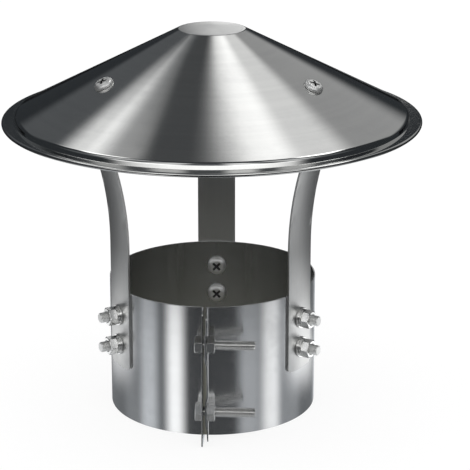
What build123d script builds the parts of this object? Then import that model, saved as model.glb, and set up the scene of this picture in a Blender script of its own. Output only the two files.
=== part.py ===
from build123d import *
from math import atan2, cos, degrees, pi, radians, sin, sqrt, tan
import os

# Chimney rain cap: a conical hood on three strap legs, over a split collar that clamps round a flue pipe.
# The origin is on the axis at the collar's lower rim, +Z points up, and the clamp opens towards -Y.
# Azimuths are in degrees, from the clamp's opening round towards +X. Lengths are in millimetres.

# Flue pipe and collar band
pipe_diameter = 100.0
band_thickness = 0.6
band_height = 65.0
pipe_stop_gap = 1.25  # from the top of the pipe's seat to the lowest screw heads, which stop the pipe
seat_relief = 0.1  # how far the band's inner face leans back above the pipe's seat, at its upper rim

# Clamp ears, the band's two ends bent outwards, each cut on a slant
ear_gap = 0.9
ear_narrow_width = 9.1
ear_wide_width = 15.6
ear_bend_radius = 0.5
ear_corner_radius = 1.2

# Clamp bolts through the ears
bolt_length = 25.0
bolt_head_height = 3.5
bolt_standoff = 6.4  # from the band's outer face to the bolts' axes
lower_bolt_height = 14.7
upper_bolt_drop = 16.4  # from the band's upper rim down to the upper bolt
lower_hex_turn = 5.0  # the lower head and nut have a corner to the front, turned up by this
upper_hex_turn = 30.0  # the upper head and nut have a flat to the front

# Hood, one pressed sheet with a rolled edge
hood_diameter = 202.0
hood_top_diameter = 32.3
hood_thickness = 0.6
outlet_height = 79.8  # from the band's upper rim to the top of the hood's brim
cone_rise = 40.2  # from the cone's foot to the flat top
brim_step = 2.7  # from the top of the brim to the cone's foot
brim_step_run = 0.9
brim_width = 5.9  # from the step's foot to the outer edge
roll_radius = 0.95
hood_top_radius = 1.2  # round the flat top
knee_radius = 1.0  # round the cone's foot
brim_root_radius = 0.5

# Legs, straps curved round the band and under the cone, and folded inwards under the hood
leg_width = 19.2
leg_thickness = 1.2
leg_overlap = 39.0  # how far a leg reaches down the band from its upper rim
leg_flare_height = 44.4  # from the band's upper rim to the corner where a leg starts to lean out
leg_flare_radius = 150.0
leg_lean = 17.0
leg_bend_radius = 4.4
leg_corner_radius = 2.0
tab_edge_distance = 7.9  # from the hood screw to the end of a leg's tab, along the tab
tab_clearance = 0.03  # between the tab and the underside of the hood
tab_washer_margin = 0.01  # between the tab's hollow underside and the rim of its flat washer
leg_azimuths = {"left": -57.8, "right": 59.4, "rear": 181.5}
leg_wrap = 12.0  # half the angle that a leg is turned through, before its width is cut

# Screws through legs and band, two to a leg, and through legs and hood, one to a leg
leg_screw_drop = 13.0  # from the band's upper rim down to the upper screw
leg_screw_spacing = 15.0
hood_screw_radius = 57.0  # from the axis to the middle of a hood screw's seat
screw_length = 12.0

# Metric fasteners, size M5
thread_diameter = 5.0
thread_clearance = 0.05
screw_hole_diameter = 5.5
pan_head_diameter = 9.5
pan_head_height = 2.3
pan_head_round = 2.1  # radius round the head's top
recess_width = 5.0
recess_slot = 1.15
recess_depth = 1.5
recess_floor = 2.8  # the cross recess narrows to this width at its floor
hex_width = 8.0  # across the flats of bolt heads and nuts
hex_chamfer = 0.4
nut_height = 4.0
washer_diameter = 10.0
washer_hole_diameter = 5.3
washer_thickness = 1.0
spring_washer_diameter = 8.8
spring_washer_hole_diameter = 5.2
spring_washer_thickness = 1.2
spring_washer_slit = 0.9
spring_washer_slit_angle = 25.0
point_chamfer = 0.5

# Sizes that follow
band_inner_radius = pipe_diameter / 2
band_outer_radius = band_inner_radius + band_thickness
band_middle_radius = band_inner_radius + band_thickness / 2
ear_reach = ear_gap / 2 + band_thickness
bolt_y = -(band_outer_radius + bolt_standoff)
bolt_heights = {"lower": lower_bolt_height, "upper": band_height - upper_bolt_drop}
hex_turns = {"lower": lower_hex_turn, "upper": upper_hex_turn}
screw_heights = {
    "lower": band_height - leg_screw_drop - leg_screw_spacing,
    "upper": band_height - leg_screw_drop,
}
seat_height = screw_heights["lower"] - pan_head_diameter / 2 - pipe_stop_gap
leg_foot_height = band_height - leg_overlap

# The flat underside of a pan head seats on the band's hollow inner face by its rim
head_seat_radius = sqrt(band_inner_radius**2 - (pan_head_diameter / 2) ** 2)

# Hood, from the axis outwards
hood_radius = hood_diameter / 2
brim_height = band_height + outlet_height
cone_foot_height = brim_height + brim_step
hood_height = cone_foot_height + cone_rise
step_foot_radius = hood_radius - brim_width
cone_foot_radius = step_foot_radius - brim_step_run
cone_slope = cone_rise / (cone_foot_radius - hood_top_diameter / 2)
cone_angle = degrees(atan2(cone_rise, cone_foot_radius - hood_top_diameter / 2))
hood_screw_height = hood_height - cone_slope * (hood_screw_radius - hood_top_diameter / 2)

# A leg's tab is curved like the cone above it, so the flat washer below it bears on the tab by its rim
tab_depth = hood_thickness + tab_clearance + leg_thickness  # from the cone's outer face to the underside
tab_curve_radius = hood_screw_radius / sin(radians(cone_angle)) - tab_depth
tab_hollow = tab_curve_radius - sqrt(tab_curve_radius**2 - (washer_diameter / 2) ** 2)
tab_washer_depth = tab_depth + tab_hollow + tab_washer_margin


def outward(azimuth, radius, height):
    """The point at this azimuth, radius and height."""
    angle = radians(azimuth)
    return Vector(radius * sin(angle), -radius * cos(angle), height)


def upright_plane(azimuth):
    """The upright plane through the axis at this azimuth: local X runs outwards and local Y runs up."""
    return Plane(
        origin=(0, 0, 0), x_dir=outward(azimuth, 1, 0), z_dir=-outward(azimuth + 90, 1, 0)
    )


def band_screw_seat(azimuth, height, radius):
    """The upright plane at this azimuth, height and radius that faces outwards, as the band's screws do."""
    return Plane(
        origin=outward(azimuth, radius, height),
        x_dir=outward(azimuth + 90, 1, 0),
        z_dir=outward(azimuth, 1, 0),
    )


def hood_screw_seat(azimuth, depth):
    """The plane square to a hood screw, facing inwards, this deep below the cone's outer face."""
    inwards = -outward(azimuth, sin(radians(cone_angle)), cos(radians(cone_angle)))
    return Plane(
        origin=outward(azimuth, hood_screw_radius, hood_screw_height) + inwards * depth,
        x_dir=outward(azimuth + 90, 1, 0),
        z_dir=inwards,
    )


def side_plane(seat):
    """The plane along a fastener's axis: local X runs sideways and local Y runs along the fastener."""
    return Plane(origin=seat.origin, x_dir=seat.x_dir, z_dir=-seat.y_dir)


def fastener_axis(seat):
    """The axis of the fastener that sits on this plane."""
    return Axis(seat.origin, seat.z_dir)


def export_pan_head_screw(seat, name):
    """A cross-recessed pan head screw: its head bears on the seat, and its shank runs along the normal."""
    with BuildPart() as screw:
        with BuildSketch(side_plane(seat)):
            with BuildLine():
                Polyline(
                    (pan_head_diameter / 2 - pan_head_round, -pan_head_height),
                    (0, -pan_head_height),
                    (0, screw_length),
                    (thread_diameter / 2 - point_chamfer, screw_length),
                    (thread_diameter / 2, screw_length - point_chamfer),
                    (thread_diameter / 2, 0),
                    (pan_head_diameter / 2, 0),
                    (pan_head_diameter / 2, pan_head_round - pan_head_height),
                )
                CenterArc(
                    (pan_head_diameter / 2 - pan_head_round, pan_head_round - pan_head_height),
                    pan_head_round,
                    start_angle=270,
                    arc_size=90,
                )
            make_face()
        revolve(axis=fastener_axis(seat))
        for across, along in (
            (seat.x_dir + seat.y_dir, seat.x_dir - seat.y_dir),
            (seat.y_dir - seat.x_dir, seat.x_dir + seat.y_dir),
        ):
            with BuildSketch(Plane(origin=seat.origin, x_dir=across, z_dir=along)):
                with BuildLine():
                    Polyline(
                        (-recess_width / 2, -pan_head_height),
                        (recess_width / 2, -pan_head_height),
                        (recess_floor / 2, recess_depth - pan_head_height),
                        (-recess_floor / 2, recess_depth - pan_head_height),
                        close=True,
                    )
                make_face()
            extrude(amount=recess_slot / 2, both=True, mode=Mode.SUBTRACT)
    screw.part.label = name
    export_step(screw.part, f"parts/{name}.step")


def export_flat_washer(seat, name):
    """A flat washer that lies on the seat."""
    with BuildPart() as washer:
        with BuildSketch(seat):
            Circle(washer_diameter / 2)
            Circle(washer_hole_diameter / 2, mode=Mode.SUBTRACT)
        extrude(amount=washer_thickness)
    washer.part.label = name
    export_step(washer.part, f"parts/{name}.step")


def export_spring_washer(seat, name):
    """A split spring washer, pressed flat, with its slanting slit."""
    slit_length = spring_washer_diameter - spring_washer_hole_diameter
    lean = spring_washer_thickness * tan(radians(spring_washer_slit_angle))
    with BuildPart() as spring_washer:
        with BuildSketch(seat):
            Circle(spring_washer_diameter / 2)
            Circle(spring_washer_hole_diameter / 2, mode=Mode.SUBTRACT)
        extrude(amount=spring_washer_thickness)
        slit_plane = Plane(
            origin=seat.origin + seat.y_dir * spring_washer_diameter / 2,
            x_dir=seat.x_dir,
            z_dir=-seat.y_dir,
        )
        with BuildSketch(slit_plane):
            with BuildLine():
                Polyline(
                    (-spring_washer_slit / 2, 0),
                    (spring_washer_slit / 2, 0),
                    (spring_washer_slit / 2 + lean, spring_washer_thickness),
                    (-spring_washer_slit / 2 + lean, spring_washer_thickness),
                    close=True,
                )
            make_face()
        extrude(amount=slit_length, mode=Mode.SUBTRACT)
    spring_washer.part.label = name
    export_step(spring_washer.part, f"parts/{name}.step")


def export_hex_nut(seat, name):
    """A hex nut that lies on the seat, with both faces' corners chamfered."""
    corner_radius = hex_width / 2 / cos(pi / 6)
    with BuildPart() as nut:
        with BuildSketch(seat):
            RegularPolygon(hex_width / 2, 6, major_radius=False)
            Circle(thread_diameter / 2 + thread_clearance, mode=Mode.SUBTRACT)
        extrude(amount=nut_height)
        with BuildSketch(side_plane(seat)):
            with BuildLine():
                Polyline(
                    (0, 0),
                    (hex_width / 2 - hex_chamfer / 4, 0),
                    (corner_radius + hex_chamfer / 4, hex_chamfer),
                    (corner_radius + hex_chamfer / 4, nut_height - hex_chamfer),
                    (hex_width / 2 - hex_chamfer / 4, nut_height),
                    (0, nut_height),
                    close=True,
                )
            make_face()
        revolve(axis=fastener_axis(seat), mode=Mode.INTERSECT)
    nut.part.label = name
    export_step(nut.part, f"parts/{name}.step")


def export_hex_bolt(seat, name):
    """A hex head bolt: its head bears on the seat, and its shank runs along the seat's normal."""
    corner_radius = hex_width / 2 / cos(pi / 6)
    with BuildPart() as bolt:
        with BuildSketch(seat):
            RegularPolygon(hex_width / 2, 6, major_radius=False)
        extrude(amount=-bolt_head_height)
        with BuildSketch(side_plane(seat)):
            with BuildLine():
                Polyline(
                    (0, 0),
                    (corner_radius + hex_chamfer / 4, 0),
                    (corner_radius + hex_chamfer / 4, hex_chamfer - bolt_head_height),
                    (hex_width / 2 - hex_chamfer / 4, -bolt_head_height),
                    (0, -bolt_head_height),
                    close=True,
                )
            make_face()
        revolve(axis=fastener_axis(seat), mode=Mode.INTERSECT)
        with BuildSketch(seat):
            Circle(thread_diameter / 2)
        extrude(amount=bolt_length)
        chamfer(bolt.faces().sort_by(fastener_axis(seat))[-1].edges(), length=point_chamfer)
    bolt.part.label = name
    export_step(bolt.part, f"parts/{name}.step")


def export_nut_stack(face, name):
    """The flat washer, spring washer and nut that close a screw, from the leg's face along its normal."""
    export_flat_washer(face, f"{name}_flat_washer")
    export_spring_washer(face.offset(washer_thickness), f"{name}_spring_washer")
    export_hex_nut(face.offset(washer_thickness + spring_washer_thickness), f"{name}_nut")


os.makedirs("parts", exist_ok=True)

# Collar band, a split ring of sheet with its two ends bent outwards as ears
with BuildPart() as collar_band:
    with BuildSketch() as section:
        Circle(band_outer_radius)
        Circle(band_inner_radius, mode=Mode.SUBTRACT)
        ear_end = band_outer_radius + ear_wide_width
        ear_length = ear_end - band_middle_radius
        with Locations((0, -band_middle_radius - ear_length / 2)):
            Rectangle(2 * ear_reach, ear_length)
        with Locations((0, -band_inner_radius)):
            Rectangle(ear_gap, 2 * (ear_end - band_inner_radius) + 2, mode=Mode.SUBTRACT)
        fillet(section.vertices().group_by(Axis.Y)[1], radius=ear_bend_radius)
        lips = section.vertices().filter_by_position(
            Axis.Y, -band_inner_radius, -band_inner_radius + band_thickness / 2
        )
        fillet(lips, radius=ear_bend_radius + band_thickness)
    extrude(amount=band_height)

    # The inner face leans back above the pipe's seat, so that only the seat grips
    with BuildSketch(Plane.XZ):
        with BuildLine():
            Polyline(
                (band_inner_radius - 1, seat_height),
                (band_inner_radius, seat_height),
                (band_inner_radius + seat_relief, band_height),
                (band_inner_radius - 1, band_height),
                close=True,
            )
        make_face()
    revolve(axis=Axis.Z, mode=Mode.SUBTRACT)

    # Each ear's front edge is cut on a slant, one ear wide at the bottom and the other wide at the top
    for side, wide_z, narrow_z in ((-1, 0, band_height), (1, band_height, 0)):
        with BuildSketch(Plane.YZ):
            with BuildLine():
                Polyline(
                    (-ear_end, wide_z),
                    (-band_outer_radius - ear_narrow_width, narrow_z),
                    (-ear_end - 1, narrow_z),
                    (-ear_end - 1, wide_z),
                    close=True,
                )
            make_face()
        extrude(amount=side * (ear_reach + 1), mode=Mode.SUBTRACT)
    fillet(
        collar_band.edges().filter_by(Axis.X).sort_by(Axis.Y)[:4], radius=ear_corner_radius
    )

    # Holes for the clamp bolts, through both ears
    with BuildSketch(Plane.YZ):
        with Locations(*[(bolt_y, height) for height in bolt_heights.values()]):
            Circle(screw_hole_diameter / 2)
    extrude(amount=ear_reach + 1, both=True, mode=Mode.SUBTRACT)

    # Holes for the leg screws
    for azimuth in leg_azimuths.values():
        for height in screw_heights.values():
            with BuildSketch(band_screw_seat(azimuth, height, band_middle_radius)):
                Circle(screw_hole_diameter / 2)
            extrude(amount=2 * band_thickness, both=True, mode=Mode.SUBTRACT)
collar_band.part.label = "collar_band"
export_step(collar_band.part, "parts/collar_band.step")

# Hood: flat top, cone, step and brim in one sheet, with the brim's edge rolled under
with BuildPart() as hood:
    with BuildSketch(Plane.XZ):
        with BuildLine():
            FilletPolyline(
                (0, hood_height),
                (hood_top_diameter / 2, hood_height),
                (cone_foot_radius, cone_foot_height),
                (step_foot_radius, brim_height),
                (hood_radius - roll_radius, brim_height),
                radius=[hood_top_radius, knee_radius, brim_root_radius],
            )
            offset(amount=hood_thickness, side=Side.RIGHT)
        make_face()
        roll_centre = (hood_radius - roll_radius, brim_height - roll_radius)
        with BuildLine():
            outside = CenterArc(roll_centre, roll_radius, 90, -270)
            inside = CenterArc(roll_centre, roll_radius - hood_thickness, 90, -270)
            Line(outside @ 0, inside @ 0)
            Line(outside @ 1, inside @ 1)
        make_face()
    revolve(axis=Axis.Z)
    for azimuth in leg_azimuths.values():
        with BuildSketch(hood_screw_seat(azimuth, 0)):
            Circle(screw_hole_diameter / 2)
        extrude(amount=3 * hood_thickness, both=True, mode=Mode.SUBTRACT)
hood.part.label = "hood"
export_step(hood.part, "parts/hood.step")

# A leg's inner face runs up the band, leans out to the bend under the cone, and turns inwards as the tab.
# That line is turned round the flue's axis, and the strap's width is cut from the sheet that it makes.
tab_offset = tab_depth / cos(radians(cone_angle))
flare_corner_height = band_height + leg_flare_height
leg_slope = tan(radians(leg_lean))
bend_height = (
    hood_height
    - tab_offset
    - cone_slope * (band_outer_radius - leg_slope * flare_corner_height - hood_top_diameter / 2)
) / (1 + cone_slope * leg_slope)
bend_radius = band_outer_radius + leg_slope * (bend_height - flare_corner_height)
tab_end_face_radius = (
    hood_screw_radius
    - (tab_edge_distance + leg_corner_radius / 2) * cos(radians(cone_angle))
    - tab_depth * sin(radians(cone_angle))
)
tab_end_face_height = (
    hood_height - tab_offset - cone_slope * (tab_end_face_radius - hood_top_diameter / 2)
)

for leg_name, azimuth in leg_azimuths.items():
    with BuildPart() as leg:
        with BuildSketch(upright_plane(azimuth - leg_wrap)):
            with BuildLine():
                FilletPolyline(
                    (band_outer_radius, leg_foot_height),
                    (band_outer_radius, flare_corner_height),
                    (bend_radius, bend_height),
                    (tab_end_face_radius, tab_end_face_height),
                    radius=[leg_flare_radius, leg_bend_radius],
                )
                offset(amount=leg_thickness, side=Side.RIGHT)
            make_face()
        revolve(axis=Axis.Z, revolution_arc=2 * leg_wrap)
        with BuildSketch(band_screw_seat(azimuth, leg_foot_height + hood_height / 2, 0)):
            RectangleRounded(leg_width, hood_height, leg_corner_radius)
        extrude(amount=hood_radius, mode=Mode.INTERSECT)

        # The tab ends straight across, with its corners rounded
        with BuildSketch(hood_screw_seat(azimuth, 0)):
            with Locations((0, -tab_edge_distance)):
                Rectangle(2 * leg_width, 4 * leg_corner_radius)
            with Locations((0, leg_width / 2 - tab_edge_distance)):
                RectangleRounded(leg_width, leg_width, leg_corner_radius, mode=Mode.SUBTRACT)
        extrude(amount=3 * leg_thickness, mode=Mode.SUBTRACT)
        for height in screw_heights.values():
            with BuildSketch(band_screw_seat(azimuth, height, band_outer_radius)):
                Circle(screw_hole_diameter / 2)
            extrude(amount=2 * leg_thickness, both=True, mode=Mode.SUBTRACT)
        with BuildSketch(hood_screw_seat(azimuth, tab_depth)):
            Circle(screw_hole_diameter / 2)
        extrude(amount=2 * leg_thickness, both=True, mode=Mode.SUBTRACT)
    leg.part.label = f"leg_{leg_name}"
    export_step(leg.part, f"parts/leg_{leg_name}.step")

    # Two screws hold the leg to the band, with their heads inside the band
    for level, height in screw_heights.items():
        place = f"leg_{leg_name}_{level}"
        export_pan_head_screw(band_screw_seat(azimuth, height, head_seat_radius), f"{place}_screw")
        export_nut_stack(band_screw_seat(azimuth, height, band_outer_radius + leg_thickness), place)

    # One screw holds the leg to the hood, with its head on the cone
    export_pan_head_screw(hood_screw_seat(azimuth, 0), f"hood_{leg_name}_screw")
    export_nut_stack(hood_screw_seat(azimuth, tab_washer_depth), f"hood_{leg_name}")

# Clamp bolts: each head bears on the left ear, and its nut bears on the right ear
for level, height in bolt_heights.items():
    turn = radians(hex_turns[level])
    corner = Vector(0, -cos(turn), sin(turn))
    left_face = Plane(origin=(-ear_reach, bolt_y, height), x_dir=corner, z_dir=(1, 0, 0))
    right_face = Plane(origin=(ear_reach, bolt_y, height), x_dir=corner, z_dir=(1, 0, 0))
    export_hex_bolt(left_face, f"clamp_bolt_{level}")
    export_hex_nut(right_face, f"clamp_nut_{level}")

print(f"hood {hood_diameter:.1f} across, {hood_height:.1f} high, cone at {cone_angle:.2f} degrees")
print(f"pipe seat {seat_height:.2f} deep, leg bend at radius {bend_radius:.2f}, height {bend_height:.2f}")
print(f"tab {tab_depth:.2f} deep, washer {tab_washer_depth:.3f}, screws at height {hood_screw_height:.2f}")
print(f"nut travel {bolt_length - 2 * ear_reach - nut_height:.2f} to the bolt's end")
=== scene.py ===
# %% [markdown]
# # A chimney rain cap, finished in Blender
# The cap is a pressed steel hood on three strap legs, over a split collar that clamps round a flue pipe.
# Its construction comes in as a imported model, which fixes where everything is and what turns or slides.
# That model has plain faceted surfaces. On polished steel every facet shows, so this lesson models each
# piece again in the same place, with smooth sheet metal, real screw threads and a finish of its own.

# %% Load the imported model
from math import asin, atan2, cos, degrees, hypot, pi, radians, sin, sqrt, tan

import bmesh
import bpy
from mathutils import Matrix, Vector


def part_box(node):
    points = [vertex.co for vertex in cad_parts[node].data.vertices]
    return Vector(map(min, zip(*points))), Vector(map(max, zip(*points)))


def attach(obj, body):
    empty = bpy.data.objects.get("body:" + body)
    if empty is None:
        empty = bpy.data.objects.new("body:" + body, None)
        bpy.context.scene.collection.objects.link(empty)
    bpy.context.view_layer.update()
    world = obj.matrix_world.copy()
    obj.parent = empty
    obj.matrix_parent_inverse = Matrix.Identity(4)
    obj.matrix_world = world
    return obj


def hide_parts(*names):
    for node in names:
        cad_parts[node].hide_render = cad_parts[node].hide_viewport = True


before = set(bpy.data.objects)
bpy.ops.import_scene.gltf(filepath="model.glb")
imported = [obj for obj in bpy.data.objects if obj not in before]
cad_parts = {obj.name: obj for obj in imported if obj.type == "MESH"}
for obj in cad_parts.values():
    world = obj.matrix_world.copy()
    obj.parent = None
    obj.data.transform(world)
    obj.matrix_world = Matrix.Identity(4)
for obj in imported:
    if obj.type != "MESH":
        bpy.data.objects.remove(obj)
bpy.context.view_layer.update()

# %% [markdown]
# ## The sizes
# Blender works in metres, and this object is drawn in millimetres, so every size is multiplied by mm.
# Sizes that the model's boxes hold are read from them. The others are the sheet, strap and screw sizes
# that the pieces were built with. The axis of the flue is Z, and the clamp opens towards -Y.

# %% Sizes of the hood, collar and legs
mm = 0.001
near = 0.01 * mm
sheet_thickness = 0.6 * mm
hood_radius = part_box("hood")[1].x
hood_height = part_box("hood")[1].z
hood_top_radius = 16.15 * mm
brim_height = hood_height - 42.9 * mm
brim_width = 5.9 * mm
brim_step = 2.7 * mm
brim_step_run = 0.9 * mm
roll_radius = 0.95 * mm

band_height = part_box("collar_band")[1].z
band_inner_radius = 50 * mm
band_outer_radius = band_inner_radius + sheet_thickness
ear_gap = 0.9 * mm
ear_narrow_width = 9.1 * mm
ear_wide_width = 15.6 * mm
bolt_heights = {"lower": 14.7 * mm, "upper": 48.6 * mm}
hex_turns = {"lower": 5, "upper": 30}
bolt_y = -57 * mm

leg_width = 19.2 * mm
leg_thickness = 1.2 * mm
leg_foot_height = 26 * mm
leg_flare_corner = 109.4 * mm
leg_lean = radians(17)
leg_azimuths = {"left": -57.8, "right": 59.4, "rear": 181.5}
leg_screw_heights = {"lower": 37 * mm, "upper": 52 * mm}
hood_screw_radius = 57 * mm
tab_depth = 1.83 * mm
tab_washer_depth = 1.942 * mm
tab_edge_distance = 7.9 * mm
hole_radius = 2.75 * mm

print("hood radius", round(hood_radius, 4), "hood height", round(hood_height, 4))

# %% [markdown]
# ## Working by hand, in code
# Modelling by hand means: add a primitive, open it in edit mode, pick some corners or edges, and pull
# them. These few helpers do the same. `pick` selects by place, `turned` is a lathe that pulls a circle
# out ring by ring, and `finish_with` adds a modifier and applies it.

# %% Helpers for modelling
def only(part):
    """Selects this part alone and makes it active."""
    if bpy.context.mode != "OBJECT":
        bpy.ops.object.mode_set(mode="OBJECT")
    bpy.ops.object.select_all(action="DESELECT")
    part.select_set(True)
    bpy.context.view_layer.objects.active = part


def edit(part):
    """Opens this part alone in edit mode, with everything in it selected."""
    only(part)
    bpy.ops.object.mode_set(mode="EDIT")
    bpy.ops.mesh.select_mode(type="VERT")
    bpy.ops.mesh.select_all(action="SELECT")


def pick(kind, test):
    """In edit mode, selects the corners, edges or faces whose every corner passes the test."""
    bpy.ops.mesh.select_mode(type=kind)
    bpy.ops.mesh.select_all(action="DESELECT")
    mesh = bpy.context.edit_object.data
    shape = bmesh.from_edit_mesh(mesh)
    for item in {"VERT": shape.verts, "EDGE": shape.edges, "FACE": shape.faces}[kind]:
        corners = [item] if kind == "VERT" else item.verts
        if all(test(corner.co) for corner in corners):
            item.select_set(True)
    shape.select_flush_mode()
    bmesh.update_edit_mesh(mesh)


def slice_through(point, normal, **settings):
    """In edit mode, cuts what is selected along the plane through this point."""
    bpy.ops.mesh.bisect(plane_co=point, plane_no=normal, threshold=0.0001 * mm, **settings)


def named(name):
    """Names the object that was just added, and puts its place in its mesh."""
    part = bpy.context.object
    part.name = name
    part.data.name = name
    only(part)
    bpy.ops.object.transform_apply(location=True, rotation=True, scale=True)
    return part


def finish_with(part, kind, **settings):
    """Adds a modifier with these settings and applies it."""
    only(part)
    modifier = part.modifiers.new(kind.title(), kind)
    for setting, value in settings.items():
        setattr(modifier, setting, value)
    bpy.ops.object.modifier_apply(modifier=modifier.name)


def break_edges(part, width, angle):
    """Bevels the edges that are sharper than this angle in degrees, by this width."""
    finish_with(part, "BEVEL", width=width, segments=2, limit_method="ANGLE", angle_limit=radians(angle))


def close_up(part):
    """Joins corners that lie together and turns all faces outwards."""
    edit(part)
    bpy.ops.mesh.remove_doubles(threshold=0.0005 * mm)
    bpy.ops.mesh.normals_make_consistent(inside=False)
    bpy.ops.object.mode_set(mode="OBJECT")


def combine(part, tool, operation):
    """Cuts the tool's shape out of the part, adds it or keeps what they share, and removes the tool."""
    finish_with(part, "BOOLEAN", object=tool, operation=operation, solver="EXACT")
    bpy.data.objects.remove(tool)


def smooth(part, angle=32):
    """Shades the part smoothly, with edges sharper than this angle kept, and large faces kept flat."""
    only(part)
    bpy.ops.object.shade_smooth_by_angle(angle=radians(angle))
    finish_with(part, "WEIGHTED_NORMAL", keep_sharp=True, weight=80)


def turned(name, rings, sides=48, solid=True):
    """A shape turned on the Z axis, from a circle pulled through these (radius, height) rings."""
    bpy.ops.object.select_all(action="DESELECT")
    radius, height = rings[0]
    bpy.ops.mesh.primitive_circle_add(
        vertices=sides, radius=radius, location=(0, 0, height), fill_type="NGON" if solid else "NOTHING"
    )
    part = named(name)
    edit(part)
    for next_radius, next_height in rings[1:]:
        bpy.ops.mesh.extrude_region_move(
            TRANSFORM_OT_translate={"value": (0, 0, next_height - height)}
        )
        share = next_radius / radius
        bpy.ops.transform.resize(value=(share, share, 1), center_override=(0, 0, next_height))
        radius, height = next_radius, next_height
    close_up(part)
    return part


def report(part):
    """Prints how large the part is and how many faces it has."""
    size = part.dimensions / mm
    print(part.name, [round(side, 2) for side in size], "faces", len(part.data.polygons))


# %% [markdown]
# ## Where the screws sit
# A fastener is modelled once, upright, with the face that it bears on at height 0 and its shank running
# up. A seat is a matrix that carries such a fastener to its place: its third column is the direction of
# the shank. The seats on the collar face outwards, and those on the hood face in through the cone.

# %% Seats of the fasteners
cone_foot_radius = hood_radius - brim_width - brim_step_run
cone_foot_height = brim_height + brim_step
cone_slope = (hood_height - cone_foot_height) / (cone_foot_radius - hood_top_radius)
cone_angle = atan2(hood_height - cone_foot_height, cone_foot_radius - hood_top_radius)


def outward(azimuth, radius, height):
    """The point at this azimuth, radius and height. Azimuth 0 is -Y, and 90 is +X."""
    return Vector((radius * sin(radians(azimuth)), -radius * cos(radians(azimuth)), height))


def seat(origin, along, across):
    """The matrix of a seat at this point, with its shank this way and its first axis that way."""
    along = along.normalized()
    across = across.normalized()
    matrix = Matrix((across, along.cross(across), along)).transposed().to_4x4()
    matrix.translation = origin
    return matrix


def band_seat(azimuth, radius, height):
    """A seat that faces outwards on the collar."""
    return seat(outward(azimuth, radius, height), outward(azimuth, 1, 0), outward(azimuth + 90, 1, 0))


def hood_seat(azimuth, depth):
    """A seat that faces inwards, this deep below the cone's outer face."""
    height = hood_height - cone_slope * (hood_screw_radius - hood_top_radius)
    inwards = -outward(azimuth, sin(cone_angle), cos(cone_angle))
    place = outward(azimuth, hood_screw_radius, height) + inwards * depth
    return seat(place, inwards, outward(azimuth + 90, 1, 0))


def clamp_seat(level, x):
    """A seat that faces +X on an ear, with a corner of the hexagon turned as it is on this level."""
    turn = radians(hex_turns[level])
    return seat(
        Vector((x, bolt_y, bolt_heights[level])), Vector((1, 0, 0)), Vector((0, -cos(turn), sin(turn)))
    )


def drill(part, seats, depth=4 * mm):
    """Drills round holes for M5 screws through the part at these seats."""
    for place in seats:
        bpy.ops.object.select_all(action="DESELECT")
        bpy.ops.mesh.primitive_cylinder_add(vertices=32, radius=hole_radius, depth=2 * depth)
        drill_bit = bpy.context.object
        drill_bit.matrix_world = place
        combine(part, drill_bit, "DIFFERENCE")


print("cone at", round(degrees(cone_angle), 2), "degrees")

# %% [markdown]
# ## The hood
# The real hood is one sheet, pressed into a flat top, a cone, a small step and a brim with its edge
# rolled under. It could be a profile spun round the axis. Here a circle is pulled out ring by ring, as
# on a lathe, because then the corners can be rounded with Bevel at their own radii. Solidify then gives
# the skin its 0.6 mm of steel on the inside, and three holes take the leg screws.

# %% Helpers for rounded corners
def corner_cut(radius, turn):
    """How far from a corner a round of this radius starts, where the sheet turns by this angle."""
    return radius * tan(turn / 2)


def round_ring(radius, height, cut, segments):
    """In edit mode, bevels the ring of edges at this radius and height."""
    pick("EDGE", lambda p: abs(p.z - height) < near and abs(p.xy.length - radius) < near)
    bpy.ops.mesh.bevel(offset=cut, segments=segments, affect="EDGES", clamp_overlap=False)


print("a round of 1 mm starts", round(corner_cut(1, pi / 2), 2), "mm from a square corner")

# %% The hood's profile, from the flat top to the rolled edge
hood_top_round = 1.2 * mm
knee_round = 2.6 * mm
brim_root_round = 0.15 * mm
roll_steps = 18
roll_turns = [radians(270) * step / roll_steps for step in range(roll_steps + 1)]
roll = [
    (
        hood_radius - roll_radius + roll_radius * sin(turn),
        brim_height - roll_radius + roll_radius * cos(turn),
    )
    for turn in roll_turns
]
step_foot_radius = hood_radius - brim_width
step_angle = atan2(brim_step, brim_step_run)
corners = [
    (hood_top_radius, hood_height),
    (cone_foot_radius, cone_foot_height),
    (step_foot_radius, brim_height),
]
print("profile corners", len(corners + roll))

# %% [markdown]
# The flat top is filled, with two rings and a middle point in it, so that it shades evenly. The cone is
# cut round on both sides of the screws, so that their holes leave the rest of its long faces alone.

# %% Model the hood
hood_sides = 192
top_ring_width = 6 * mm
screw_ring_width = 6 * mm
hood = turned("hood_sheet", corners + roll, sides=hood_sides, solid=False)
edit(hood)
pick("EDGE", lambda p: abs(p.z - hood_height) < near)
bpy.ops.mesh.edge_face_add()
bpy.ops.mesh.inset(thickness=top_ring_width)
bpy.ops.mesh.inset(thickness=top_ring_width)
bpy.ops.mesh.poke()
round_ring(hood_top_radius, hood_height, corner_cut(hood_top_round, cone_angle), 5)
round_ring(cone_foot_radius, cone_foot_height, corner_cut(knee_round, step_angle - cone_angle), 8)
round_ring(step_foot_radius, brim_height, corner_cut(brim_root_round, step_angle), 3)
for ring_radius in (hood_screw_radius - screw_ring_width, hood_screw_radius + screw_ring_width):
    ring_height = hood_height - cone_slope * (ring_radius - hood_top_radius)
    bpy.ops.mesh.select_all(action="SELECT")
    slice_through((0, 0, ring_height), (0, 0, 1))
close_up(hood)
finish_with(hood, "SOLIDIFY", thickness=sheet_thickness, offset=-1, use_even_offset=True)
drill(hood, [hood_seat(azimuth, 0) for azimuth in leg_azimuths.values()])
smooth(hood)
report(hood)

# %% [markdown]
# ## The collar
# The collar is one strip of the same sheet, bent into a ring, with its two ends turned out as ears. It
# starts as the right ear, an upright plane. Spinning that ear's inner edge round the flue's axis makes
# the band, and pulling the last edge out makes the left ear. Each ear is then cut on its slant. The
# clamp squeezes the ears at the bolts, so the right ear bows outwards between and beyond them.

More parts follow.
